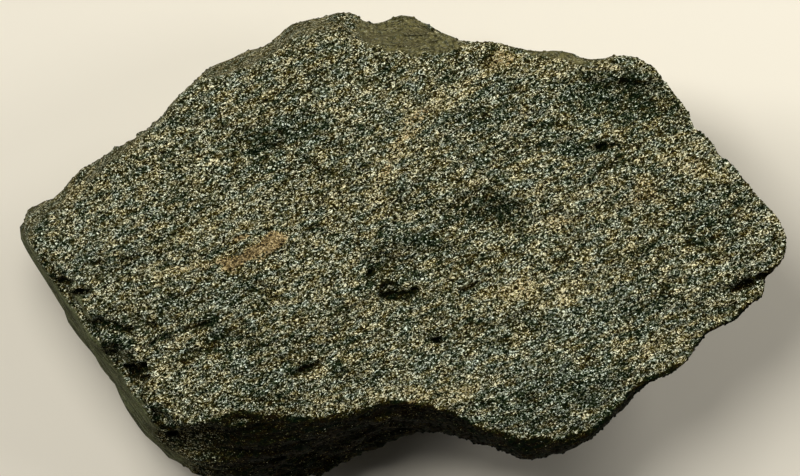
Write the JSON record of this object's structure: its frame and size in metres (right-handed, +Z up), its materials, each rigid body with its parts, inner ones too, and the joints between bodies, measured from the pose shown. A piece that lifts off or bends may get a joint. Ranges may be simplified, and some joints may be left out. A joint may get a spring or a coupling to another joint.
{
  "type": "phosphorite hand specimen",
  "caption": "Broken block of dark, fine-grained phosphorite with one broad rough face, ledges and pits; it rests on a small flat spot.",
  "frame": {"origin": "middle of the bounding box's bottom, on the plane that the stone rests on", "axes": "+X along the broad face from its left tip to its right tip, +Y across it to the edge with two bumps, +Z up out of the broad face"},
  "size_m": [0.046, 0.029, 0.0182],
  "materials": {
    "phosphorite": "rough, granular and matt: near-black grains with tan cement between them"
  },
  "bodies": {
    "root": {"stone": "phosphorite"}
  },
  "joints": []
}
